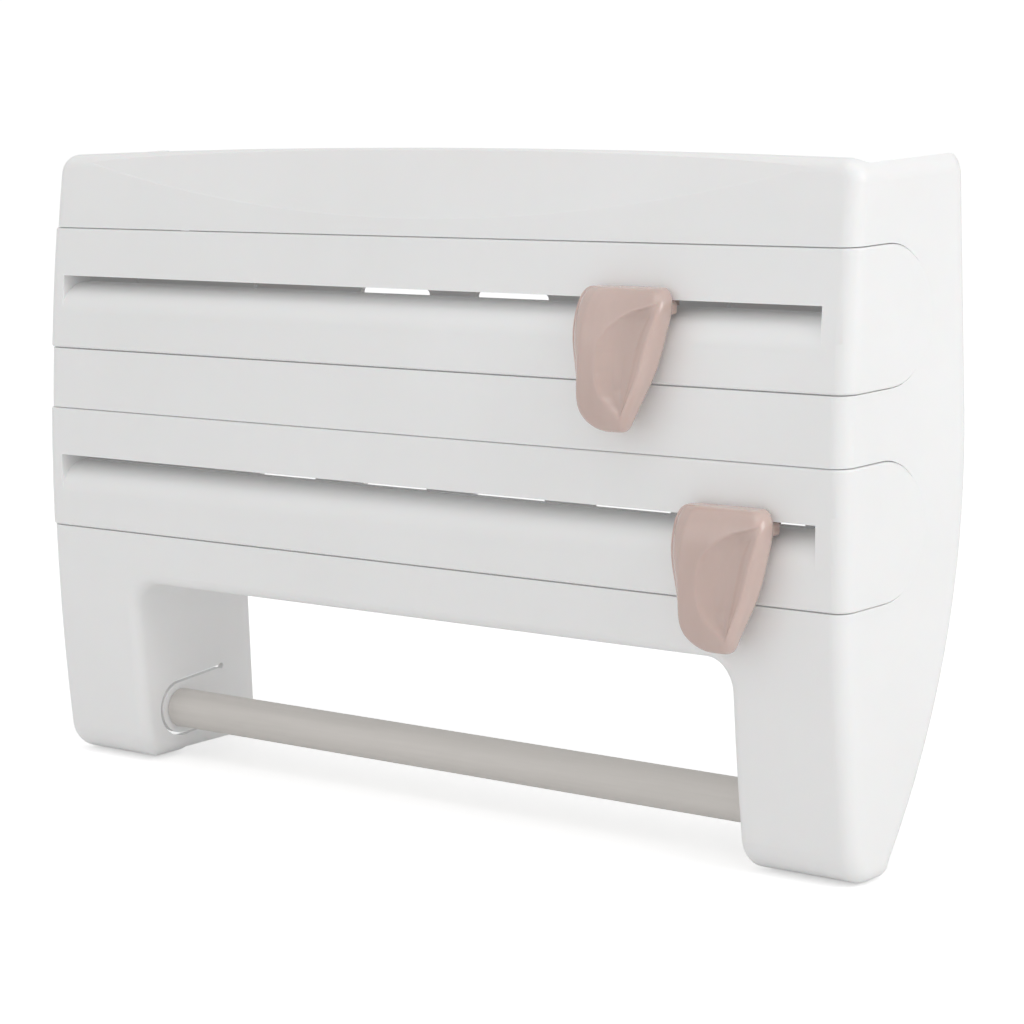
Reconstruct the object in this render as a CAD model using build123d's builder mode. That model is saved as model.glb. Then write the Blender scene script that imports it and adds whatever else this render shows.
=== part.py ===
"""Wall-hung kitchen roll station: a white moulded housing with a tray on top, two pull-out
drawers for film and foil rolls, each with a sliding cutter, and a towel rod between two legs.

Frame: X across the width with 0 at mid-width, Y = 0 on the wall and the front towards -Y,
Z up with 0 at the two keyholes that the station hangs from. Lengths are millimetres.
"""
import math
import os

from build123d import *

# ------------------------------------------------------------ overall form
FOOT_Z = -149.0            # leg bottoms; the heights below are measured up from here
WIDTH = 390.0              # across the outer faces of the side walls
CORNER_Z = FOOT_Z + 241.0  # rim height at the front corners
RIM_RISE = 3.2             # how far the front rim bows up at mid-width
RIM_TILT = 0.6             # degrees the rim climbs towards the wall
APEX_Y = -79.3             # most forward point of the bowed front
APEX_Z = FOOT_Z + 80.0
FRONT_RADIUS = 860.0       # bow of the front, seen from the side
SWEEP_TOP = FOOT_Z + 153.0 # below this the side walls' back edge curves forward
SWEEP_RADIUS = 244.5
WALL = 3.0                 # outer walls
PLATE = 2.4                # inner horizontal plates
FRONT_CORNER = 6.0         # round from the front to the sides and the rim
REAR_TOP_CORNER = 8.0
SHOULDER = 8.0             # top corners, seen from the front
DECK_Z = FOOT_Z + 228.0    # upper face of the tray
TRAY_CORNER = 5.0
SCOOP_RADIUS = 8700.0      # shallow hollow pressed into the top band
SCOOP_ARC = 815.0          # its lower edge, seen from the front
SCOOP_LOW = FOOT_Z + 219.4 # lowest point of that edge, at mid-width
SCOOP_STEP = 0.35          # step along that edge
SCOOP_DEPTH = 2.2          # further depth at the rim, at mid-width

# ------------------------------------------------------------ seams
UPPER_TOP = FOOT_Z + 213.0 # seam above the upper drawer
LOWER_TOP = FOOT_Z + 141.6 # seam above the lower drawer
BAY_HEIGHT = 48.0
OPENING_TOP = FOOT_Z + 73.5  # underside of the lowest front band
EDGE_ROUND = 0.8           # broken edges along the seams

# ------------------------------------------------------------ legs and towel rod
LEG_WIDTH = 48.0
LEG_BACK = -17.0           # back edge of each leg's inner wall
LEG_INNER_FOOT = 8.0       # inner lower edge of each leg, seen from the front
LEG_FRONT_INNER = 4.5      # front edges of the opening between the legs
LEG_HEEL = 12.0            # lower rear corner of the inner wall
FOOT_ROUND = 12.0          # lower front edge of the feet, seen from the side
OPENING_CORNER = 11.0
ROD_Y = -57.0
ROD_Z = FOOT_Z + 19.2
ROD_DIAMETER = 15.5
ROD_BORE = 12.7
RUNNING_GAP = 0.05         # radial, around the plug's spigot and its pin
PLUG_SPIGOT = 14.0
PLUG_PIN = 8.0             # diameter of the pin in the leg
PIN_PROUD = 1.0            # the pin reaches this far past the leg's wall
TONGUE_LENGTH = 24.0       # springy tongue that carries the plug, cut out by a U-shaped slit
TONGUE_HEIGHT = 20.6
TONGUE_ANGLE = 5.0         # degrees the tongue climbs towards the wall
SLIT = 1.2
SLIT_END = 2.4             # round hole at each end of the slit

# ------------------------------------------------------------ drawers
GAP = 0.4                  # all round each drawer
DRAWER_PROUD = 1.0         # each drawer end stands proud of the side wall
BAR_HEIGHT = 19.0          # top bar of the drawer front, below the seam
RECESS_LOW = 34.6          # start of the rolled-in panel, below the seam
ROLL_IN = 12.2             # radius of the rolled-in panel
WINDOW_LEFT = -186.5
WINDOW_RIGHT = 184.0
LIP = 3.2                  # flat of the rolled-in panel behind its curve
SKIN = 2.2
GUSSET = 2.5               # walls that close the recess at both ends
GUSSET_LOW = 6.0           # they reach this far below the start of the roll
GUSSET_FRONT = 2.5         # inset of their front edge
GROOVE_WIDTH = 2.0         # blade groove in the flat of the panel
GROOVE_DEPTH = 1.1
TROUGH_RISE = 20.0         # degrees the trough's back climbs past level
TROUGH_FRONT = 1.0         # gap between the trough and the drawer front
WINDOW_PITCH = 59.0
WINDOW_CENTRE = 12.0
WINDOW_SHIFT = -22.0       # panel windows against trough windows
TROUGH_WINDOW = (36.0, 10.0)
TROUGH_WINDOW_CORNER = 2.0
WINDOW_DROP = 5.0          # below the trough's middle

# ------------------------------------------------------------ cutters
RAIL_THICK = 1.5
RAIL_ABOVE_BAR = 2.0       # rail's lower edge above the bar's lower edge
RAIL_DROP = 3.0            # rail's upper edge below the seam
RAIL_TONGUE = 3.0
TONGUE_DROP = 10.0         # the rail's tongue below the seam
TONGUE_THICK = 2.0
ROOT = 0.25                # the tongue's root reaches this far into the rail
SLIDE_GAP = 0.4
CARRIAGE_LENGTH = 22.0
CARRIAGE_DROP = 5.0        # carriage's upper face below the seam
CARRIAGE_BACK = 12.4       # inset of the carriage's back face from the front
STEM_LENGTH = 20.0
STEM_GAP = 0.8             # between the drawer front and the stem's front
STEM_LIFT = 0.5            # stem and carriage above the roll
NECK_SIZE = (20.0, 4.8)    # rounded block where the stem meets the lever
NECK_OFFSET = 6.5          # the block sits right of the lever's middle
NECK_CORNER = 1.5
NECK_DEPTH = 4.0
BLADE_THICK = 0.6
BLADE_LENGTH = 18.0
BLADE_DROP = 8.0           # blade's upper edge below the seam
BLADE_POINT = 5.0          # height of the blade's pointed part
BLADE_SCREW = 2.9
BLADE_SCREW_HEAD = 5.5
BLADE_SCREW_LENGTH = 4.5
BLADE_SCREW_UP = 3.2       # screw's axis above the bar's lower edge
LEVER_TOP = 14.6           # top of the lever, below the seam
LEVER_HEIGHT = 48.5
LEVER_SECTIONS = (         # below the top: left edge, right edge, stand-off, depth, corner
    (0.0, -15.5, 15.0, 0.8, 6.5, 2.5),
    (2.5, -18.5, 18.3, 0.8, 9.5, 3.8),
    (8.0, -19.4, 19.2, 0.8, 12.0, 4.5),
    (24.0, -17.4, 15.8, 1.7, 14.3, 4.5),
    (34.0, -15.2, 12.4, 3.0, 15.0, 4.5),
    (41.5, -13.0, 9.0, 4.5, 14.6, 4.0),
    (46.0, -9.0, 7.0, 5.5, 13.0, 3.2),
    (LEVER_HEIGHT, -2.6, 4.4, 7.0, 10.5, 1.5),
)

# ------------------------------------------------------------ back panel
PANEL_THICK = 2.5
PANEL_HALF = 186.0
PANEL_LOW = FOOT_Z + 92.0
PANEL_HIGH = FOOT_Z + 226.0
PANEL_WINDOW = (46.0, 30.0)
PANEL_WINDOW_CORNER = 4.0
PANEL_CORNER = 6.0
SCREW_X = (-130.0, 0.0, 130.0)
SCREW_ROWS = (FOOT_Z + 220.4, FOOT_Z + 153.3)
SCREW_DIAMETER = 2.9
SCREW_HEAD = 6.0
HEAD_HEIGHT = 1.4
HEAD_INSET = 0.2           # screw heads sit this far inside the wall plane
SCREW_RECESS = 6.6
SCREW_LENGTH = 12.0
SCREW_HOLE = 3.0
BOSS_DIAMETER = 8.0
BOSS_ROOT = 0.5            # bosses reach this far into the front wall
KEYHOLE_X = 160.0
KEYHOLE_ENTRY = 10.0
KEYHOLE_SLOT = 4.6
KEYHOLE_RISE = 9.0

# ------------------------------------------------------------ reach of cutting shapes
OVER = 5.0                 # a little past what they cut
FAR = 100.0                # past the whole depth of the station

# ------------------------------------------------------------ worked out from the above
HALF = WIDTH / 2
INSIDE = HALF - WALL
LEG_IN = HALF - LEG_WIDTH
RADIUS = BAY_HEIGHT / 2
UPPER_BOTTOM = UPPER_TOP - BAY_HEIGHT
LOWER_BOTTOM = LOWER_TOP - BAY_HEIGHT
CEILING = CORNER_Z + 2 * OVER  # above everything, for shapes that are trimmed later
SCREW_POINTS = [(x, z) for z in SCREW_ROWS for x in SCREW_X]
TROUGH_WINDOWS = [WINDOW_CENTRE + step * WINDOW_PITCH for step in range(-2, 3)]

# name, seam height, axis of the round back, cutter position along X
DRAWERS = (
    ("upper", UPPER_TOP, -49.0, 106.0),
    ("lower", LOWER_TOP, -55.0, 150.5),
)
# the panel has a window behind these windows of each trough
PANEL_WINDOWS = {
    "upper": TROUGH_WINDOWS[1:3],
    "lower": TROUGH_WINDOWS,
}


def front_y(z, inset=0.0):
    """Y of the bowed front at height z, moved inwards by inset."""
    radius = FRONT_RADIUS - inset
    return APEX_Y + FRONT_RADIUS - math.sqrt(radius**2 - (z - APEX_Z) ** 2)


def sweep_y(z):
    """Y of the side walls' back edge at height z."""
    drop = max(0.0, SWEEP_TOP - z)
    return -(SWEEP_RADIUS - math.sqrt(SWEEP_RADIUS**2 - drop**2))


def front_arc(low, high, inset=0.0):
    """Edge along the bowed front from low to high."""
    middle = (low + high) / 2
    return ThreePointArc(
        (front_y(low, inset), low),
        (front_y(middle, inset), middle),
        (front_y(high, inset), high),
    )


def back_arc(high, low):
    """Edge along the swept back of the side walls from high down to low."""
    middle = (low + high) / 2
    return ThreePointArc((sweep_y(high), high), (sweep_y(middle), middle), (sweep_y(low), low))


def band_profile(low, high, inset, back, nose=0.0):
    """Closed YZ profile from the bowed front to the plane Y = back; nose rounds its lower front."""
    with BuildSketch(Plane.YZ) as profile:
        with BuildLine():
            front_arc(low, high, inset)
            Polyline((front_y(high, inset), high), (back, high), (back, low), (front_y(low, inset), low))
        make_face()
        if nose:
            fillet(vertices().sort_by(lambda v: v.X + v.Y)[0], nose)
    return profile.sketch


def d_profile(low, high, axis_y, front):
    """Closed YZ profile of a D: straight from front to axis_y, then a half circle."""
    radius = (high - low) / 2
    with BuildSketch(Plane.YZ) as profile:
        with BuildLine():
            Polyline((axis_y, low), (front, low), (front, high), (axis_y, high))
            ThreePointArc((axis_y, high), (axis_y + radius, low + radius), (axis_y, low))
        make_face()
    return profile.sketch


def skin_profile(low, high, outer, inner):
    """Closed YZ profile between two insets of the bowed front."""
    with BuildSketch(Plane.YZ) as profile:
        with BuildLine():
            front_arc(low, high, outer)
            Line((front_y(high, outer), high), (front_y(high, inner), high))
            front_arc(low, high, inner)
            Line((front_y(low, inner), low), (front_y(low, outer), low))
        make_face()
    return profile.sketch


def upright_corners(part, half):
    """Front edges of a part where the bowed front meets the side planes at X = +-half."""
    return (
        part.edges()
        .filter_by(lambda e: abs(abs(e.center().X) - half) < 0.01)
        .filter_by(lambda e: e.bounding_box().size.X < 0.01)
        .filter_by(lambda e: e.center().Y < -60 and e.bounding_box().size.Z > 30)
    )


def save(part, name):
    """Label a finished piece and write it as parts/<name>.step."""
    part.label = name
    export_step(part, f"parts/{name}.step")


# ============================================================ housing shell
def leg_cavity(side):
    """Hollow of one leg, open at the back."""
    floor = FOOT_Z + WALL
    with BuildPart() as cavity:
        with BuildSketch(Plane.XZ.offset(-OVER)):
            with Locations((side * (LEG_IN + HALF) / 2, (floor + OPENING_TOP) / 2)):
                RectangleRounded(LEG_WIDTH - 2 * WALL, OPENING_TOP - floor, LEG_INNER_FOOT - WALL)
        extrude(amount=FAR)
        add(extrude(band_profile(floor, OPENING_TOP + OVER, WALL, 2 * OVER, FOOT_ROUND - WALL), amount=HALF,
                    both=True, mode=Mode.PRIVATE), mode=Mode.INTERSECT)
    return cavity.part


def top_scoop():
    """Shallow hollow in the face of the top band, with a fine step along its arched edge."""
    top = CORNER_Z + RIM_RISE
    low_front = front_y(SCOOP_LOW)
    lean = math.atan2(front_y(top) + SCOOP_DEPTH - low_front, top - SCOOP_LOW)
    axis = Plane(
        origin=(0, low_front + SCOOP_STEP, SCOOP_LOW),
        x_dir=(1, 0, 0),
        z_dir=(0, math.sin(lean), math.cos(lean)),
    )
    with BuildPart() as scoop:
        with BuildSketch(axis.offset(-FAR / 2)):
            with Locations((0, -SCOOP_RADIUS)):
                Circle(SCOOP_RADIUS)
            Rectangle(WIDTH, FAR, mode=Mode.INTERSECT)
        extrude(amount=FAR)
        with BuildSketch(Plane.XZ):
            with Locations((0, SCOOP_LOW + SCOOP_ARC)):
                Circle(SCOOP_ARC)
        extrude(amount=FAR, mode=Mode.INTERSECT)
    return scoop.part


def make_housing():
    """Top band with tray, mid band, leg band, side walls and both legs, in one moulding."""
    with BuildPart() as housing:
        with BuildSketch(Plane.YZ):
            with BuildLine():
                front_arc(FOOT_Z, CEILING)
                Polyline((front_y(CEILING), CEILING), (0, CEILING), (0, SWEEP_TOP))
                back_arc(SWEEP_TOP, FOOT_Z)
                Line((sweep_y(FOOT_Z), FOOT_Z), (front_y(FOOT_Z), FOOT_Z))
            make_face()
            fillet(vertices().sort_by(lambda v: v.X + v.Y)[0], FOOT_ROUND)
        extrude(amount=HALF, both=True)

        # rim: bowed up at mid-width, climbing slightly towards the wall, with round shoulders
        tilt = math.radians(RIM_TILT)
        rim_plane = Plane(
            origin=(0, front_y(CORNER_Z), CORNER_Z),
            x_dir=(1, 0, 0),
            z_dir=(0, -math.cos(tilt), -math.sin(tilt)),
        )
        with BuildSketch(rim_plane):
            with BuildLine():
                ThreePointArc((-HALF, 0), (0, RIM_RISE), (HALF, 0))
                Polyline((HALF, 0), (HALF, -3 * FAR), (-HALF, -3 * FAR), (-HALF, 0))
            make_face()
            fillet(vertices().filter_by(lambda v: v.Y > -1), SHOULDER)
        extrude(amount=2 * FAR, both=True, mode=Mode.INTERSECT)

        # soft edges all round the front and on round the feet
        bowed = housing.faces().sort_by(Axis.Y)[0]
        fillet(bowed.edges().filter_by(lambda e: e.center().Z > FOOT_Z + FOOT_ROUND + 1), FRONT_CORNER)
        rear_rim = (
            housing.edges()
            .filter_by(lambda e: abs(e.center().Y) < 0.01 and e.center().Z > CORNER_Z - 1)
            .filter_by(lambda e: e.bounding_box().size.X > 100)
        )
        fillet(rear_rim, REAR_TOP_CORNER)

        # opening between the legs, with soft front edges
        with BuildSketch(Plane.XZ):
            with Locations((0, OPENING_TOP - FAR / 2)):
                RectangleRounded(2 * LEG_IN, FAR, OPENING_CORNER)
        extrude(amount=FAR, mode=Mode.SUBTRACT)
        opening_edges = (
            housing.edges()
            .filter_by(lambda e: abs(abs(e.center().X) - LEG_IN) < 0.01)
            .filter_by(lambda e: e.center().Y < -60 and e.bounding_box().size.Z > 30)
        )
        fillet(opening_edges, LEG_FRONT_INNER)

        for side in (-1, 1):
            add(leg_cavity(side), mode=Mode.SUBTRACT)

        # inner walls of the legs run straight down behind the swept outer walls
        for side in (-1, 1):
            with BuildSketch(Plane.YZ.offset(side * LEG_IN)):
                with BuildLine():
                    Polyline(
                        (ROD_Y, FOOT_Z),
                        (LEG_BACK, FOOT_Z),
                        (LEG_BACK, OPENING_TOP + PLATE),
                        (ROD_Y, OPENING_TOP + PLATE),
                        close=True,
                    )
                make_face()
                fillet(vertices().sort_by(lambda v: v.X - v.Y)[-1], LEG_HEEL)
            extrude(amount=side * WALL)

        # inner lower edges of the feet, rounded as seen from the front
        for side in (-1, 1):
            with BuildSketch(Plane.XZ.offset(-OVER)):
                with Locations((side * (LEG_IN + LEG_INNER_FOOT / 2), FOOT_Z + LEG_INNER_FOOT / 2)):
                    Rectangle(LEG_INNER_FOOT, LEG_INNER_FOOT)
                with Locations((side * (LEG_IN + LEG_INNER_FOOT), FOOT_Z + LEG_INNER_FOOT)):
                    Circle(LEG_INNER_FOOT, mode=Mode.SUBTRACT)
            extrude(amount=FAR, mode=Mode.SUBTRACT)

        # springy tongues that carry the rod's plugs, each cut free by a U-shaped slit
        slope = math.radians(TONGUE_ANGLE)
        slit_rise = (TONGUE_HEIGHT + SLIT) / 2
        for side in (-1, 1):
            tongue_plane = Plane(
                origin=(side * LEG_IN, ROD_Y, ROD_Z),
                x_dir=(0, math.cos(slope), math.sin(slope)),
                z_dir=(1, 0, 0),
            )
            with BuildSketch(tongue_plane):
                Circle(TONGUE_HEIGHT / 2 + SLIT)
                Circle(TONGUE_HEIGHT / 2, mode=Mode.SUBTRACT)
                with Locations((FAR / 2, 0)):
                    Rectangle(FAR, FAR, mode=Mode.SUBTRACT)
                for rise in (-slit_rise, slit_rise):
                    with Locations((TONGUE_LENGTH / 2, rise)):
                        Rectangle(TONGUE_LENGTH, SLIT)
                    with Locations((TONGUE_LENGTH, rise)):
                        Circle(SLIT_END / 2)
                Circle(PLUG_PIN / 2 + RUNNING_GAP)
            extrude(amount=side * (WALL + OVER), mode=Mode.SUBTRACT)


        add(top_scoop(), mode=Mode.SUBTRACT)

        # tray
        tray_front = front_y(CORNER_Z) + SCOOP_DEPTH + SCOOP_STEP + WALL
        with BuildSketch(Plane.XY.offset(DECK_Z)):
            with Locations((0, tray_front / 2 + TRAY_CORNER)):
                RectangleRounded(2 * INSIDE, 2 * TRAY_CORNER - tray_front, TRAY_CORNER)
        extrude(amount=FAR, mode=Mode.SUBTRACT)

        # drawer bays, open at front and back, with their round-backed side notches
        for _, seam, axis_y, _ in DRAWERS:
            bottom = seam - BAY_HEIGHT
            with BuildSketch(Plane.YZ):
                with Locations((-FAR / 2, bottom + RADIUS)):
                    Rectangle(FAR + 2 * OVER, BAY_HEIGHT)
            extrude(amount=INSIDE, both=True, mode=Mode.SUBTRACT)
            add(extrude(d_profile(bottom, seam, axis_y, -FAR), amount=HALF + OVER, both=True,
                        mode=Mode.PRIVATE), mode=Mode.SUBTRACT)

        # hollows behind the three front bands, open at the back
        hollows = (
            (UPPER_TOP + PLATE, DECK_Z - PLATE),
            (LOWER_TOP + PLATE, UPPER_BOTTOM - PLATE),
            (OPENING_TOP + PLATE, LOWER_BOTTOM - PLATE),
        )
        for low, high in hollows:
            add(extrude(band_profile(low, high, WALL, OVER), amount=INSIDE, both=True,
                        mode=Mode.PRIVATE), mode=Mode.SUBTRACT)

        # bosses for the panel screws
        for x, z in SCREW_POINTS:
            with BuildSketch(Plane.XZ.offset(PANEL_THICK)):
                with Locations((x, z)):
                    Circle(BOSS_DIAMETER / 2)
            extrude(amount=-front_y(z, WALL) - PANEL_THICK + BOSS_ROOT)
            with BuildSketch(Plane.XZ.offset(PANEL_THICK)):
                with Locations((x, z)):
                    Circle(SCREW_HOLE / 2)
            extrude(amount=SCREW_LENGTH + 1, mode=Mode.SUBTRACT)

        # recess for the back panel
        with BuildSketch(Plane.XZ.offset(-OVER)):
            with Locations((0, (PANEL_LOW + PANEL_HIGH) / 2)):
                Rectangle(2 * PANEL_HALF + 2 * GAP, PANEL_HIGH - PANEL_LOW + 2 * GAP)
        extrude(amount=PANEL_THICK + OVER, mode=Mode.SUBTRACT)
    return housing.part


def make_panel():
    """Flat back panel with light windows, screw holes and two keyholes."""
    with BuildPart() as panel:
        with BuildSketch(Plane.XZ):
            with Locations((0, (PANEL_LOW + PANEL_HIGH) / 2)):
                RectangleRounded(2 * PANEL_HALF, PANEL_HIGH - PANEL_LOW, PANEL_CORNER)
            for drawer, seam, _, _ in DRAWERS:
                places = [(x + WINDOW_SHIFT, seam - RADIUS) for x in PANEL_WINDOWS[drawer]]
                with Locations(*places):
                    RectangleRounded(*PANEL_WINDOW, PANEL_WINDOW_CORNER, mode=Mode.SUBTRACT)
            for side in (-1, 1):
                with Locations((side * KEYHOLE_X, 0)):
                    Circle(KEYHOLE_ENTRY / 2, mode=Mode.SUBTRACT)
                with Locations((side * KEYHOLE_X, KEYHOLE_RISE)):
                    Circle(KEYHOLE_SLOT / 2, mode=Mode.SUBTRACT)
                with Locations((side * KEYHOLE_X, KEYHOLE_RISE / 2)):
                    Rectangle(KEYHOLE_SLOT, KEYHOLE_RISE, mode=Mode.SUBTRACT)
        extrude(amount=PANEL_THICK)
        with Locations(*[Location((x, 0, z), (90, 0, 0)) for x, z in SCREW_POINTS]):
            CounterBoreHole(SCREW_HOLE / 2, SCREW_RECESS / 2, HEAD_HEIGHT + HEAD_INSET)
    return panel.part


def make_panel_screws():
    """Pan-head screws that hold the back panel, one solid each."""
    with BuildPart() as screws:
        for x, z in SCREW_POINTS:
            with BuildSketch(Plane.XZ.offset(HEAD_INSET)):
                with Locations((x, z)):
                    Circle(SCREW_HEAD / 2)
            extrude(amount=HEAD_HEIGHT)
            with BuildSketch(Plane.XZ.offset(HEAD_INSET)):
                with Locations((x, z)):
                    Circle(SCREW_DIAMETER / 2)
            extrude(amount=SCREW_LENGTH)
    return screws.part


# ============================================================ towel rod
def make_rod():
    """Tube that turns freely on its two end plugs."""
    length = 2 * (LEG_IN - GAP)
    with BuildPart() as rod:
        with BuildSketch(Plane.YZ.offset(-length / 2)):
            with Locations((ROD_Y, ROD_Z)):
                Circle(ROD_DIAMETER / 2)
                Circle(ROD_BORE / 2, mode=Mode.SUBTRACT)
        extrude(amount=length)
    return rod.part


def make_plug(side):
    """End plug: a spigot that the rod turns on and a pin held by the leg's tongue."""
    with BuildPart() as plug:
        for reach, radius in (
            (-side * PLUG_SPIGOT, ROD_BORE / 2 - RUNNING_GAP),
            (side * (WALL + PIN_PROUD), PLUG_PIN / 2),
        ):
            with BuildSketch(Plane.YZ.offset(side * LEG_IN)):
                with Locations((ROD_Y, ROD_Z)):
                    Circle(radius)
            extrude(amount=reach)
    return plug.part


# ============================================================ drawers
def make_drawer_front(seam, axis_y):
    """Drawer front with its two D-shaped ends, top bar and rolled-in lower panel."""
    high = seam - GAP
    low = seam - BAY_HEIGHT + GAP
    bar_low = seam - BAR_HEIGHT
    recess_low = seam - RECESS_LOW
    half = HALF + DRAWER_PROUD
    roll_front = front_y(recess_low)
    with BuildPart() as front:
        with BuildSketch(Plane.YZ):
            with BuildLine():
                front_arc(low, high)
                Line((front_y(high), high), (axis_y, high))
                ThreePointArc((axis_y, high), (axis_y + (high - low) / 2, (high + low) / 2), (axis_y, low))
                Line((axis_y, low), (front_y(low), low))
            make_face()
        extrude(amount=half, both=True)
        fillet(upright_corners(front, half), FRONT_CORNER)
        fillet(front.faces().sort_by(Axis.Y)[0].edges(), EDGE_ROUND)

        # hollow behind the front wall, between the two end plates
        add(extrude(band_profile(low - OVER, high + OVER, WALL, 0), amount=INSIDE - GAP, both=True,
                    mode=Mode.PRIVATE), mode=Mode.SUBTRACT)

        # window under the top bar
        with BuildSketch(Plane.XZ.offset(-roll_front - ROLL_IN)):
            with Locations(((WINDOW_LEFT + WINDOW_RIGHT) / 2, (recess_low + bar_low) / 2)):
                Rectangle(WINDOW_RIGHT - WINDOW_LEFT, bar_low - recess_low)
        extrude(amount=FAR, mode=Mode.SUBTRACT)

        # lower panel rolls in to a flat lip, with the blade groove near its back
        with BuildSketch(Plane.YZ.offset(WINDOW_LEFT - GUSSET)):
            with BuildLine():
                outer = roll_front + ROLL_IN
                CenterArc((outer, recess_low), ROLL_IN, 90, 90)
                Polyline(
                    (outer, recess_low + ROLL_IN),
                    (outer + LIP, recess_low + ROLL_IN),
                    (outer + LIP, recess_low + ROLL_IN - SKIN),
                    (outer, recess_low + ROLL_IN - SKIN),
                )
                CenterArc((outer, recess_low), ROLL_IN - SKIN, 90, 90)
                Line((roll_front + SKIN, recess_low), (roll_front, recess_low))
            make_face()
        extrude(amount=WINDOW_RIGHT - WINDOW_LEFT + 2 * GUSSET)

        # gussets close the recess at both ends
        with Locations((WINDOW_LEFT - GUSSET, 0, 0), (WINDOW_RIGHT, 0, 0)):
            add(extrude(band_profile(recess_low - GUSSET_LOW, high, GUSSET_FRONT, outer + LIP),
                        amount=GUSSET, mode=Mode.PRIVATE))

        with BuildSketch(Plane.YZ.offset(WINDOW_LEFT)):
            with Locations((roll_front + CARRIAGE_BACK + BLADE_THICK / 2, recess_low + ROLL_IN)):
                Rectangle(GROOVE_WIDTH, 2 * GROOVE_DEPTH)
        extrude(amount=WINDOW_RIGHT - WINDOW_LEFT, mode=Mode.SUBTRACT)
    return front.part


def make_trough(seam, axis_y):
    """Round-backed trough that carries the roll, with light windows in its back."""
    middle = seam - RADIUS
    outer = RADIUS - GAP
    inner = outer - SKIN
    low = middle - outer
    rise = math.radians(TROUGH_RISE)
    start = front_y(low, WALL) + TROUGH_FRONT
    with BuildPart() as trough:
        with BuildSketch(Plane.YZ):
            with BuildLine():
                Line((start, low), (axis_y, low))
                CenterArc((axis_y, middle), outer, -90, 90 + TROUGH_RISE)
                Line(
                    (axis_y + outer * math.cos(rise), middle + outer * math.sin(rise)),
                    (axis_y + inner * math.cos(rise), middle + inner * math.sin(rise)),
                )
                CenterArc((axis_y, middle), inner, -90, 90 + TROUGH_RISE)
                Polyline((axis_y, low + SKIN), (start, low + SKIN), (start, low))
            make_face()
        extrude(amount=INSIDE - 2 * GAP, both=True)
        with BuildSketch(Plane.XZ.offset(-axis_y)):
            with Locations(*[(x, middle - WINDOW_DROP) for x in TROUGH_WINDOWS]):
                RectangleRounded(*TROUGH_WINDOW, TROUGH_WINDOW_CORNER)
        extrude(amount=-FAR, mode=Mode.SUBTRACT)
    return trough.part


def make_rail(seam):
    """Strip behind the top bar with the tongue that the cutter rides on."""
    low = seam - BAR_HEIGHT + RAIL_ABOVE_BAR
    tongue = seam - TONGUE_DROP
    base = front_y(tongue, WALL + RAIL_THICK)
    with BuildPart() as rail:
        add(extrude(skin_profile(low, seam - RAIL_DROP, WALL, WALL + RAIL_THICK),
                    amount=WINDOW_RIGHT - GAP, both=True, mode=Mode.PRIVATE))
        with BuildSketch(Plane.YZ):
            with Locations((base + (RAIL_TONGUE - ROOT) / 2, tongue)):
                Rectangle(RAIL_TONGUE + ROOT, TONGUE_THICK)
        extrude(amount=WINDOW_RIGHT - GAP, both=True)
    return rail.part


def make_carriage(seam, cutter_x):
    """Shoe that slides on the rail, with the stem and neck that come out under the top bar."""
    bar_low = seam - BAR_HEIGHT
    roll_front = front_y(seam - RECESS_LOW)
    back = roll_front + CARRIAGE_BACK
    low = seam - RECESS_LOW + ROLL_IN + STEM_LIFT
    high = seam - CARRIAGE_DROP
    face = front_y(seam - RAIL_DROP, WALL + RAIL_THICK) + SLIDE_GAP
    tongue = seam - TONGUE_DROP
    groove_end = front_y(tongue, WALL + RAIL_THICK) + RAIL_TONGUE + SLIDE_GAP
    stem_front = front_y(bar_low, -STEM_GAP)
    neck_length = NECK_DEPTH + roll_front - stem_front
    with BuildPart() as carriage:
        with BuildSketch(Plane.YZ.offset(cutter_x - CARRIAGE_LENGTH / 2)):
            with Locations(((face + back) / 2, (low + high) / 2)):
                Rectangle(back - face, high - low)
            with Locations(((face + groove_end) / 2, tongue)):
                Rectangle(groove_end - face, TONGUE_THICK + 2 * SLIDE_GAP, mode=Mode.SUBTRACT)
        extrude(amount=CARRIAGE_LENGTH)
        with BuildSketch(Plane.YZ.offset(cutter_x - STEM_LENGTH / 2)):
            with Locations(((stem_front + back) / 2, (low + bar_low - GAP) / 2)):
                Rectangle(back - stem_front, bar_low - GAP - low)
        extrude(amount=STEM_LENGTH)
        with BuildSketch(Plane.XZ.offset(-stem_front)):
            with Locations((cutter_x + NECK_OFFSET, bar_low - GAP - NECK_SIZE[1] / 2)):
                RectangleRounded(*NECK_SIZE, NECK_CORNER)
        extrude(amount=-neck_length)
        with BuildSketch(Plane.XZ.offset(-back)):
            with Locations((cutter_x, bar_low + BLADE_SCREW_UP)):
                Circle(SCREW_HOLE / 2)
        extrude(amount=BLADE_SCREW_LENGTH, mode=Mode.SUBTRACT)
    return carriage.part


def make_blade(seam, cutter_x):
    """Thin pointed blade on the carriage's back, reaching into the groove."""
    back = front_y(seam - RECESS_LOW) + CARRIAGE_BACK
    tip = seam - RECESS_LOW + ROLL_IN - GROOVE_DEPTH + GAP
    high = seam - BLADE_DROP
    left = cutter_x - BLADE_LENGTH / 2
    right = cutter_x + BLADE_LENGTH / 2
    with BuildPart() as blade:
        with BuildSketch(Plane.XZ.offset(-back)):
            with BuildLine():
                Polyline(
                    (left, high),
                    (left, tip + BLADE_POINT),
                    (cutter_x, tip),
                    (right, tip + BLADE_POINT),
                    (right, high),
                    close=True,
                )
            make_face()
            with Locations((cutter_x, seam - BAR_HEIGHT + BLADE_SCREW_UP)):
                Circle(SCREW_HOLE / 2, mode=Mode.SUBTRACT)
        extrude(amount=-BLADE_THICK)
    return blade.part


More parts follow.
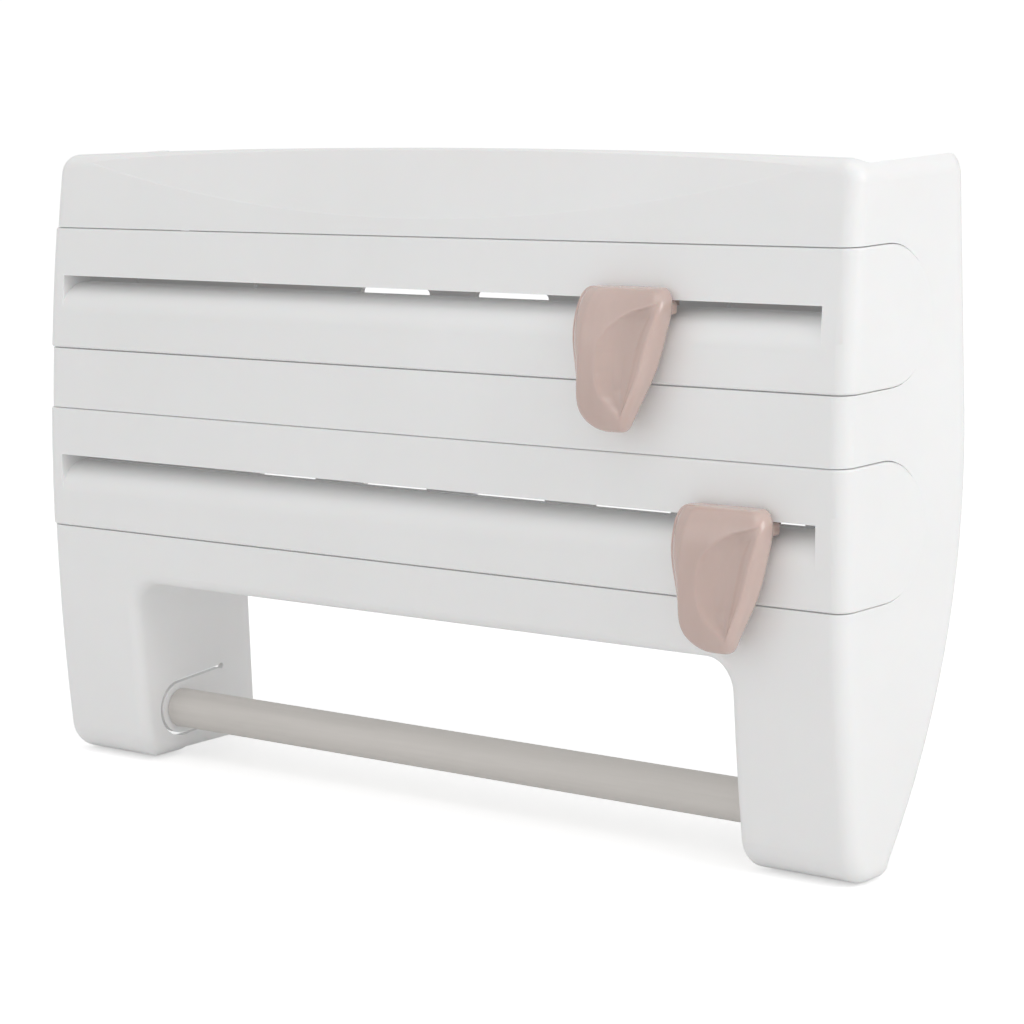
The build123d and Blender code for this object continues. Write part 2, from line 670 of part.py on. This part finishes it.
def make_blade_screw(seam, cutter_x):
    """Small screw that clamps the blade to the carriage."""
    head_plane = Plane.XZ.offset(-front_y(seam - RECESS_LOW) - CARRIAGE_BACK - BLADE_THICK)
    with BuildPart() as screw:
        for diameter, reach in ((BLADE_SCREW_HEAD, -HEAD_HEIGHT), (BLADE_SCREW, BLADE_SCREW_LENGTH)):
            with BuildSketch(head_plane):
                with Locations((cutter_x, seam - BAR_HEIGHT + BLADE_SCREW_UP)):
                    Circle(diameter / 2)
            extrude(amount=reach)
    return screw.part


def make_lever(seam, cutter_x):
    """Thumb lever: tapers from a square-shouldered top to a rounded foot."""
    top = seam - LEVER_TOP
    with BuildPart() as lever:
        for drop, left, right, stand_off, depth, corner in LEVER_SECTIONS:
            z = top - drop
            middle_y = front_y(z) - (stand_off + depth) / 2
            with BuildSketch(Plane.XY.offset(z)):
                with Locations((cutter_x + (left + right) / 2, middle_y)):
                    RectangleRounded(right - left, depth - stand_off, corner)
        loft()
        add(extrude(band_profile(top - LEVER_HEIGHT - OVER, top + OVER, -STEM_GAP, 0), amount=HALF,
                    both=True, mode=Mode.PRIVATE), mode=Mode.SUBTRACT)
    return lever.part


# ============================================================ build and write
os.makedirs("parts", exist_ok=True)

save(make_housing(), "housing_shell")
save(make_panel(), "back_panel")
save(make_panel_screws(), "panel_screws")
save(make_rod(), "towel_rod")
save(make_plug(-1), "rod_plug_left")
save(make_plug(1), "rod_plug_right")

for drawer, seam_z, round_axis, cutter_place in DRAWERS:
    save(make_drawer_front(seam_z, round_axis), f"{drawer}_drawer_front")
    save(make_trough(seam_z, round_axis), f"{drawer}_drawer_trough")
    save(make_rail(seam_z), f"{drawer}_cutter_rail")
    save(make_carriage(seam_z, cutter_place), f"{drawer}_cutter_carriage")
    save(make_blade(seam_z, cutter_place), f"{drawer}_cutter_blade")
    save(make_blade_screw(seam_z, cutter_place), f"{drawer}_blade_screw")
    save(make_lever(seam_z, cutter_place), f"{drawer}_cutter_lever")
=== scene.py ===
"""Looks of the wall-hung roll station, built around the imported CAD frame. Metres throughout."""

import math

import bmesh
import bpy
from mathutils import Matrix, Vector


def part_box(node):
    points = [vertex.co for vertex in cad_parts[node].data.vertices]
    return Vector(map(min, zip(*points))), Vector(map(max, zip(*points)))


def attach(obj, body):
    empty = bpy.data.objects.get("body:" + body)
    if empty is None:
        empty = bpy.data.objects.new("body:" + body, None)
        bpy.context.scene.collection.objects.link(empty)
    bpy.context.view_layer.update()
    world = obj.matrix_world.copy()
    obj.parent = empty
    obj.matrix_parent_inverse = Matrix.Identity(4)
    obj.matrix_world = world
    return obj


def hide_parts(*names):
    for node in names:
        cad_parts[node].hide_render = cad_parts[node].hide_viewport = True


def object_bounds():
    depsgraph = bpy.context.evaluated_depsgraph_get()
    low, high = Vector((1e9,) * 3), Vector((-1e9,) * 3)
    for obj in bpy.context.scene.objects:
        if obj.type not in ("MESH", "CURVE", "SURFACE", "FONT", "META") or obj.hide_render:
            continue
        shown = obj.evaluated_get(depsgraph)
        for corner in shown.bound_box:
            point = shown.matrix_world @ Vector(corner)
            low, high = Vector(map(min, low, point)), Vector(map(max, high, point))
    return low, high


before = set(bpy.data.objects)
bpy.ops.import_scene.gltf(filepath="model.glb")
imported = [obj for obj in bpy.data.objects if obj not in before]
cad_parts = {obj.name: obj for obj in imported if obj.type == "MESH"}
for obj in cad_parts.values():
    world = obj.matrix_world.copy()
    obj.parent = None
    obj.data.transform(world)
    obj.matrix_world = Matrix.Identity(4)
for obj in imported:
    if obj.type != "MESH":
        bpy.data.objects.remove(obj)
CAD_LOW, CAD_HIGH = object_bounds()

MM = 0.001
DRAWERS = ("upper", "lower")

# CAD nodes that share a finish
WHITE_NODES = ["housing_shell", "back_panel", "rod_plug_left", "rod_plug_right"] + [
    f"{drawer}_{part}" for drawer in DRAWERS for part in ("drawer_front", "drawer_trough", "cutter_rail")
]
ROD_NODES = ["towel_rod"]
STEEL_NODES = ["panel_screws"] + [
    f"{drawer}_{part}" for drawer in DRAWERS for part in ("cutter_blade", "blade_screw")
]
ROSE_NODES = [f"{drawer}_cutter_carriage" for drawer in DRAWERS]

# thumb levers; shares of the lever run 0 to 1, across from left to right and down from top to foot
LEVER_VOXEL = 0.5 * MM
LEVER_ROWS = 60                 # thin rows in which the lever's edges are looked up
SCOOP_DEPTH = 4.2 * MM          # thumb scoop in the lever's face
FACET_DEPTH = 2.6 * MM          # slanting facet along the left edge
RIDGE_CLEAR = 0.02              # least share of the width between crease and ridge
FACING = (0.05, 0.6)            # how far a normal points to the front, from no carving to full
FACET_END = (0.75, 0.95)        # share of the height over which the facet dies out
CREASE = (                      # scoop's left border: (down, across)
    (0.10, 0.96), (0.155, 0.70), (0.21, 0.58), (0.28, 0.48), (0.36, 0.41), (0.45, 0.37),
    (0.58, 0.37), (0.66, 0.41), (0.74, 0.49), (0.81, 0.66), (0.88, 0.87),
)
RIDGE = (                       # scoop's right border: (down, across)
    (0.0, 0.97), (0.6, 0.95), (0.8, 0.93), (0.88, 0.90), (1.0, 0.90),
)
SCOOP_SECTION = (               # from crease to ridge: (share of the way, share of the depth)
    (0.0, 0.0), (0.06, 0.25), (0.3, 0.85), (0.5, 1.0), (0.72, 0.85), (0.9, 0.4), (1.0, 0.0),
)
SCOOP_FADE = (                  # (down, share of the depth)
    (0.09, 0.0), (0.2, 0.75), (0.4, 1.0), (0.7, 1.0), (0.82, 0.6), (0.9, 0.0),
)
FACET_WIDTH = ((0.0, 0.22), (0.5, 0.16), (0.9, 0.04), (1.0, 0.04))     # (down, across)

# stage and light
WHITE_LIGHT = (1, 1, 1, 1)
PLASTIC_GLOW = 0.04             # faint lift that stands for light scattered inside the white plastic
FLOOR_GLOW = 0.42               # lifts the floor to white, for the camera alone
FLOOR_GAP = 0.5 * MM            # floor below the feet
FLOOR_FRONT = -6.0
FLOOR_BACK = 3.0                # the floor starts to curve up here
FLOOR_HALF_WIDTH = 9.0
COVE_RADIUS = 1.5
COVE_STEPS = 12
BACKDROP_TOP = 5.0
WORLD_STRENGTH = 0.70
LIGHTS = (                      # name, place, target, size, watts
    ("key", (2.0, -0.05, 1.1), (0.1, 0, 0), (1.2, 1.2), 14),
    ("front", (-0.9, -1.8, 0.9), (0, 0, 0), (0.9, 0.9), 1.5),
    ("top", (0.3, -0.5, 1.8), (0, 0, 0), (1.2, 0.8), 3),
)

# camera: a long lens from the right front, a little above
CAMERA_PLACE = (0.792, -0.923, 0.146)
CAMERA_TURN = math.radians(41.197)      # swung to the right of straight on
CAMERA_DROP = math.radians(9.0)         # looking down
CAMERA_ROLL = math.radians(-2.121)
LENS = 112.96                           # mm, on a sensor of 36 mm
SENSOR = 36.0
FAR_CLIP = 50


# ------------------------------------------------------------------ material helpers
class Nodes:
    """Shorthand for building one node material."""

    def __init__(self, name):
        self.material = bpy.data.materials.new(name)
        self.material.use_nodes = True
        self.tree = self.material.node_tree
        self.bsdf = self.tree.nodes["Principled BSDF"]
        self.place = self.add("ShaderNodeTexCoord").outputs["Object"]

    def add(self, kind, **values):
        """New node; each value sets a property of that name, or else the input of that name."""
        node = self.tree.nodes.new(kind)
        for key, value in values.items():
            if hasattr(node, key):
                setattr(node, key, value)
            else:
                node.inputs[key.replace("_", " ")].default_value = value
        return node

    def link(self, source, target):
        self.tree.links.new(source, target)

    def noise(self, scale, detail, rough=0.5, stretch=(1, 1, 1)):
        """Noise in object space; a small stretch value makes it run long on that axis."""
        mapping = self.add("ShaderNodeMapping")
        mapping.inputs["Scale"].default_value = stretch
        self.link(self.place, mapping.inputs["Vector"])
        texture = self.add("ShaderNodeTexNoise", Scale=scale, Detail=detail, Roughness=rough)
        self.link(mapping.outputs[0], texture.inputs["Vector"])
        return texture.outputs["Fac"]

    def ramp(self, value, *stops):
        """Colour ramp over a value; stops are (position, colour)."""
        node = self.add("ShaderNodeValToRGB")
        for element, (position, colour) in zip(node.color_ramp.elements, stops):
            element.position = position
            element.color = (*colour, 1)
        self.link(value, node.inputs[0])
        return node.outputs[0]

    def span(self, value, low, high):
        """Maps 0..1 to low..high."""
        node = self.add("ShaderNodeMapRange")
        node.inputs["To Min"].default_value = low
        node.inputs["To Max"].default_value = high
        self.link(value, node.inputs["Value"])
        return node.outputs[0]

    def tint(self, factor, colour, toward):
        """Fades a colour output toward a fixed colour where factor is high."""
        node = self.add("ShaderNodeMix", data_type="RGBA")
        self.link(factor, node.inputs[0])
        self.link(colour, node.inputs[6])
        node.inputs[7].default_value = (*toward, 1)
        return node.outputs[2]

    def bump(self, height, strength, distance, after=None):
        """Bump from a height value, on top of an earlier bump if one is given."""
        node = self.add("ShaderNodeBump", Strength=strength, Distance=distance)
        self.link(height, node.inputs["Height"])
        if after is not None:
            self.link(after, node.inputs["Normal"])
        return node.outputs[0]

    def edge_highlight_mask(self, radius):
        """1 where the surface turns sharply within radius, 0 on flats."""
        bevel = self.add("ShaderNodeBevel", samples=6, Radius=radius)
        geometry = self.add("ShaderNodeNewGeometry")
        dot = self.add("ShaderNodeVectorMath", operation="DOT_PRODUCT")
        self.link(bevel.outputs[0], dot.inputs[0])
        self.link(geometry.outputs["Normal"], dot.inputs[1])
        node = self.add("ShaderNodeMapRange")
        node.inputs["From Min"].default_value = 1.0
        node.inputs["From Max"].default_value = 0.75
        self.link(dot.outputs["Value"], node.inputs["Value"])
        return node.outputs[0]

    def set(self, **values):
        """Sets or links inputs of the surface shader by name."""
        for key, value in values.items():
            socket = self.bsdf.inputs[key.replace("_", " ")]
            if isinstance(value, (int, float, tuple)):
                socket.default_value = value
            else:
                self.link(value, socket)


def white_plastic():
    """Satin white moulding: faint flow clouds, fine spark-eroded grain, a painted highlight along the
    edges and a faint painted glow.
    """
    n = Nodes("white_plastic")
    clouds = n.noise(scale=9, detail=4, rough=0.55)
    base = n.ramp(clouds, (0.3, (0.835, 0.835, 0.83)), (0.7, (0.87, 0.87, 0.868)))
    # painted highlight: where the surface turns sharply, the colour is tinted lighter than on the flats
    colour = n.tint(n.edge_highlight_mask(1.2 * MM), base, (0.9, 0.9, 0.9))
    ripple = n.noise(scale=38, detail=2, stretch=(1, 1, 1.6))
    grain = n.noise(scale=2600, detail=2, rough=0.6)
    rough = n.span(n.noise(scale=60, detail=5, rough=0.6), 0.30, 0.42)
    normal = n.bump(ripple, strength=0.05, distance=0.8 * MM)
    normal = n.bump(grain, strength=0.06, distance=0.04 * MM, after=normal)
    n.set(Base_Color=colour, Roughness=rough, Normal=normal, Specular_IOR_Level=0.45,
          Subsurface_Weight=0.08, Subsurface_Scale=4 * MM, Coat_Weight=0.08, Coat_Roughness=0.2,
          Emission_Color=WHITE_LIGHT, Emission_Strength=PLASTIC_GLOW)
    return n.material


def rose_plastic():
    """Glossy dusty rose plastic with slow flow marks and a soft painted highlight along the edges."""
    n = Nodes("rose_plastic")
    flow = n.noise(scale=45, detail=4, rough=0.6, stretch=(1, 1, 0.35))
    base = n.ramp(flow, (0.28, (0.585, 0.445, 0.398)), (0.72, (0.655, 0.505, 0.455)))
    # painted highlight: where the surface turns sharply, the colour is tinted lighter than on the flats
    colour = n.tint(n.edge_highlight_mask(1.5 * MM), base, (0.73, 0.585, 0.545))
    rough = n.span(n.noise(scale=140, detail=5, rough=0.6), 0.16, 0.28)
    normal = n.bump(n.noise(scale=70, detail=2), strength=0.06, distance=0.6 * MM)
    normal = n.bump(n.noise(scale=1900, detail=2), strength=0.04, distance=0.03 * MM, after=normal)
    n.set(Base_Color=colour, Roughness=rough, Normal=normal, Specular_IOR_Level=0.5,
          Subsurface_Weight=0.12, Subsurface_Scale=3 * MM, Coat_Weight=0.5, Coat_Roughness=0.08)
    return n.material


def rod_finish():
    """Satin warm grey coating with long draw marks and a few rub marks."""
    n = Nodes("rod_finish")
    streaks = n.noise(scale=240, detail=4, rough=0.6, stretch=(0.03, 1, 1))
    base = n.ramp(streaks, (0.3, (0.655, 0.625, 0.59)), (0.7, (0.715, 0.68, 0.645)))
    patches = n.noise(scale=55, detail=6, rough=0.75, stretch=(0.5, 1, 1))
    rubs = n.ramp(patches, (0.66, (0, 0, 0)), (0.70, (1, 1, 1)))
    colour = n.tint(n.span(rubs, 0.0, 0.35), base, (0.8, 0.775, 0.75))
    rough = n.span(streaks, 0.34, 0.5)
    normal = n.bump(streaks, strength=0.12, distance=0.1 * MM)
    normal = n.bump(rubs, strength=0.1, distance=0.05 * MM, after=normal)
    n.set(Base_Color=colour, Roughness=rough, Normal=normal, Specular_IOR_Level=0.45, Coat_Weight=0.05)
    return n.material


def bright_steel():
    """Ground steel with fine brush lines."""
    n = Nodes("bright_steel")
    lines = n.noise(scale=1500, detail=3, rough=0.6, stretch=(0.05, 1, 1))
    base = n.ramp(lines, (0.3, (0.5, 0.5, 0.51)), (0.7, (0.66, 0.66, 0.67)))
    rough = n.span(lines, 0.22, 0.42)
    normal = n.bump(lines, strength=0.15, distance=0.03 * MM)
    n.set(Base_Color=base, Roughness=rough, Metallic=1.0, Normal=normal)
    return n.material


def floor_material():
    """Very pale floor with a hint of variation, lifted to white for the camera alone."""
    n = Nodes("pale_floor")
    base = n.ramp(n.noise(scale=3, detail=3), (0.3, (0.88, 0.88, 0.88)), (0.7, (0.9, 0.9, 0.9)))
    seen = n.span(n.add("ShaderNodeLightPath").outputs["Is Camera Ray"], 0.0, FLOOR_GLOW)
    rough = n.span(n.noise(scale=30, detail=3), 0.5, 0.62)
    n.set(Base_Color=base, Roughness=rough, Emission_Color=WHITE_LIGHT, Emission_Strength=seen)
    return n.material


# ------------------------------------------------------------------ finishes of the CAD nodes
def finish_nodes(names, material):
    """Gives each named CAD node one material."""
    for name in names:
        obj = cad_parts[name]
        if not obj.material_slots:
            obj.data.materials.append(material)
        for slot in obj.material_slots:
            slot.material = material


# ------------------------------------------------------------------ sculpted thumb levers
def curve(points, at):
    """Value on the broken line through a rising list of points, held level beyond its ends."""
    if at <= points[0][0]:
        return points[0][1]
    for (x0, y0), (x1, y1) in zip(points, points[1:]):
        if at <= x1:
            return y0 + (y1 - y0) * (at - x0) / (x1 - x0)
    return points[-1][1]


def smooth_step(value, low, high):
    """0 at low, 1 at high, with soft ends."""
    t = min(1.0, max(0.0, (value - low) / (high - low)))
    return t * t * (3 - 2 * t)


def lever_carve(across, down):
    """Depth cut from the lever's face at a share of its width and height."""
    ridge = curve(RIDGE, down)
    crease = min(curve(CREASE, down), ridge - RIDGE_CLEAR)
    section = curve(SCOOP_SECTION, (across - crease) / (ridge - crease))
    scoop = SCOOP_DEPTH * section * curve(SCOOP_FADE, down)
    slant = max(0.0, 1.0 - across / curve(FACET_WIDTH, down))
    return scoop + FACET_DEPTH * slant * (1.0 - smooth_step(down, *FACET_END))


def smoothing(obj, iterations):
    """Smooth modifier that rounds off the voxel steps."""
    soften = obj.modifiers.new("soften", "SMOOTH")
    soften.factor = 0.5
    soften.iterations = iterations


def remeshed(source, name):
    """Fine even mesh over the same solid."""
    draft = bpy.data.objects.new(name + "_draft", source.data.copy())
    bpy.context.scene.collection.objects.link(draft)
    remesh = draft.modifiers.new("even", "REMESH")
    remesh.mode = "VOXEL"
    remesh.voxel_size = LEVER_VOXEL
    smoothing(draft, 4)
    bpy.context.view_layer.update()
    mesh = bpy.data.meshes.new_from_object(draft.evaluated_get(bpy.context.evaluated_depsgraph_get()))
    bpy.data.objects.remove(draft)
    mesh.name = name
    return mesh


def row_edges(mesh, low, high):
    """Left and right edge of the solid in each of many thin rows, top to bottom."""
    edges = [[math.inf, -math.inf] for _ in range(LEVER_ROWS)]
    for vertex in mesh.vertices:
        row = min(LEVER_ROWS - 1, int((high.z - vertex.co.z) / (high.z - low.z) * LEVER_ROWS))
        edges[row][0] = min(edges[row][0], vertex.co.x)
        edges[row][1] = max(edges[row][1], vertex.co.x)
    return edges


def lever_place(vertex, low, high, edges):
    """Share of the lever's height and of its local width at which a vertex lies: (across, down)."""
    down = (high.z - vertex.co.z) / (high.z - low.z)
    place = min(LEVER_ROWS - 1.001, max(0.0, down * LEVER_ROWS - 0.5))     # short of the last row
    row = int(place)
    part = place - row
    left = edges[row][0] * (1 - part) + edges[row + 1][0] * part
    right = edges[row][1] * (1 - part) + edges[row + 1][1] * part
    return min(1.0, max(0.0, (vertex.co.x - left) / (right - left))), down


def make_lever(drawer, material):
    """Thumb lever carved out of its CAD solid: scoop with a creased edge, side ridge, soft facet."""
    node = f"{drawer}_cutter_lever"
    low, high = (Vector(corner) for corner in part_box(node))
    mesh = remeshed(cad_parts[node], f"{drawer}_thumb_lever")
    edges = row_edges(mesh, low, high)
    moves = []
    for vertex in mesh.vertices:
        facing = smooth_step(-vertex.normal.y, *FACING)
        moves.append(lever_carve(*lever_place(vertex, low, high, edges)) * facing)
    for vertex, move in zip(mesh.vertices, moves):
        vertex.co.y += move
    for polygon in mesh.polygons:
        polygon.use_smooth = True
    mesh.materials.clear()
    mesh.materials.append(material)
    lever = bpy.data.objects.new(f"{drawer}_thumb_lever", mesh)
    bpy.context.scene.collection.objects.link(lever)
    smoothing(lever, 2)
    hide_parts(node)
    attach(lever, f"{drawer}_cutter")


# ------------------------------------------------------------------ stage, light and camera
def make_floor():
    """Pale floor that curves up into a backdrop far behind the object."""
    low = CAD_LOW.z - FLOOR_GAP
    profile = [(FLOOR_FRONT, low), (FLOOR_BACK, low)]
    for step in range(1, COVE_STEPS + 1):
        angle = step * math.pi / 2 / COVE_STEPS
        back, up = math.sin(angle), 1 - math.cos(angle)
        profile.append((FLOOR_BACK + COVE_RADIUS * back, low + COVE_RADIUS * up))
    profile.append((FLOOR_BACK + COVE_RADIUS, BACKDROP_TOP))
    mesh = bmesh.new()
    left, right = (
        [mesh.verts.new((x, y, z)) for y, z in profile] for x in (-FLOOR_HALF_WIDTH, FLOOR_HALF_WIDTH)
    )
    for i in range(len(profile) - 1):
        mesh.faces.new((left[i], right[i], right[i + 1], left[i + 1]))
    data = bpy.data.meshes.new("floor")
    mesh.to_mesh(data)
    mesh.free()
    for polygon in data.polygons:
        polygon.use_smooth = True
    data.materials.append(floor_material())
    floor = bpy.data.objects.new("floor", data)
    bpy.context.scene.collection.objects.link(floor)


def area_light(name, place, target, size, watts):
    data = bpy.data.lights.new(name, "AREA")
    data.shape = "RECTANGLE"
    data.size, data.size_y = size
    data.energy = watts
    light = bpy.data.objects.new(name, data)
    bpy.context.scene.collection.objects.link(light)
    light.location = place
    light.rotation_euler = (Vector(target) - Vector(place)).to_track_quat("-Z", "Y").to_euler()


def make_world():
    world = bpy.data.worlds.new("studio")
    bpy.context.scene.world = world
    world.use_nodes = True
    background = world.node_tree.nodes["Background"]
    background.inputs["Color"].default_value = WHITE_LIGHT
    background.inputs["Strength"].default_value = WORLD_STRENGTH


def make_camera():
    data = bpy.data.cameras.new("camera")
    data.sensor_width = SENSOR
    data.lens = LENS
    data.clip_end = FAR_CLIP
    camera = bpy.data.objects.new("camera", data)
    bpy.context.scene.collection.objects.link(camera)
    turn = Matrix.Rotation(CAMERA_TURN, 4, "Z")
    drop = Matrix.Rotation(math.pi / 2 - CAMERA_DROP, 4, "X")
    roll = Matrix.Rotation(CAMERA_ROLL, 4, "Z")
    camera.matrix_world = Matrix.Translation(CAMERA_PLACE) @ turn @ drop @ roll
    bpy.context.scene.camera = camera


rose = rose_plastic()
finish_nodes(WHITE_NODES, white_plastic())
finish_nodes(ROD_NODES, rod_finish())
finish_nodes(STEEL_NODES, bright_steel())
finish_nodes(ROSE_NODES, rose)
for drawer in DRAWERS:
    make_lever(drawer, rose)

make_floor()
make_world()
for light in LIGHTS:
    area_light(*light)
make_camera()
bpy.context.scene.view_settings.view_transform = "Standard"
